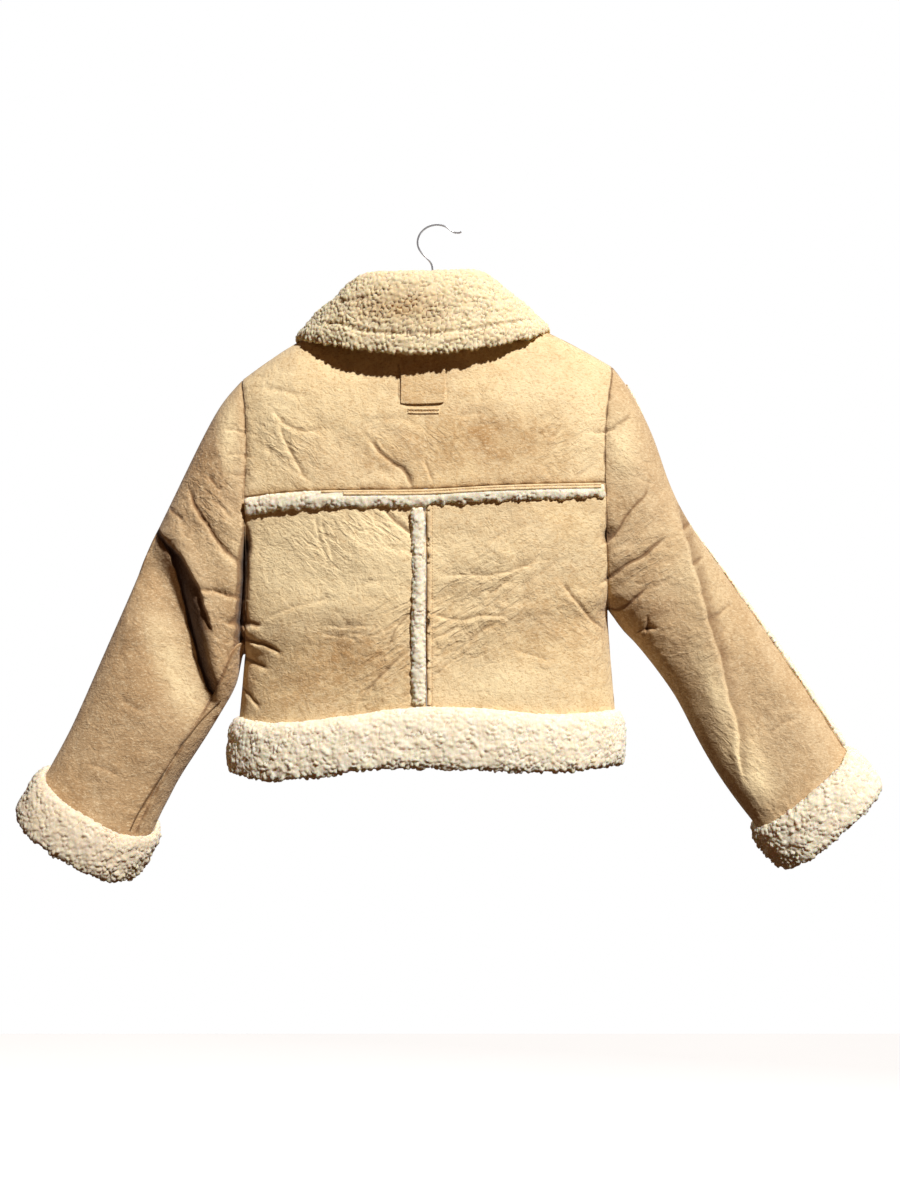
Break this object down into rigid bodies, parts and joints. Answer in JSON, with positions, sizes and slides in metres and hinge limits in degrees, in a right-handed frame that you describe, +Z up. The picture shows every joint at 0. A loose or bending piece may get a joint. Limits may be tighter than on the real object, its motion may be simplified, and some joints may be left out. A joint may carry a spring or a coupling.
{
  "type": "faux shearling coat on a hanger",
  "caption": "Cropped faux shearling coat with a turned-down collar, sherpa hem band and turned-up cuffs, hung by the wire hook of a plain hanger.",
  "frame": {"origin": "inside top of the hanger's hook, where it hangs on a peg, rail or nub", "axes": "+X towards the wearer's right sleeve, +Y out of the coat's front, +Z up as hung"},
  "size_m": [1.0427, 0.1882, 0.7875],
  "materials": {
    "suede": "matt tan faux suede, brushed and slightly mottled",
    "sherpa": "cream curled pile",
    "hanger_bar": "pale grey, satin",
    "hanger_hook": "bright wire"
  },
  "bodies": {
    "root": {"back_yoke": "suede", "back_left": "suede", "back_right": "suede", "front_left": "suede", "front_right": "suede", "sleeve_left_back": "suede", "sleeve_left_front": "suede", "sleeve_right_back": "suede", "sleeve_right_front": "suede", "neck_patch": "suede", "yoke_strip": "sherpa", "back_seam_strip": "sherpa", "hem_band": "sherpa", "cuff_left": "sherpa", "cuff_right": "sherpa", "sleeve_strip_left": "sherpa", "sleeve_strip_right": "sherpa", "collar": "sherpa", "hanger_bar": "hanger_bar", "hanger_hook": "hanger_hook"}
  },
  "joints": []
}
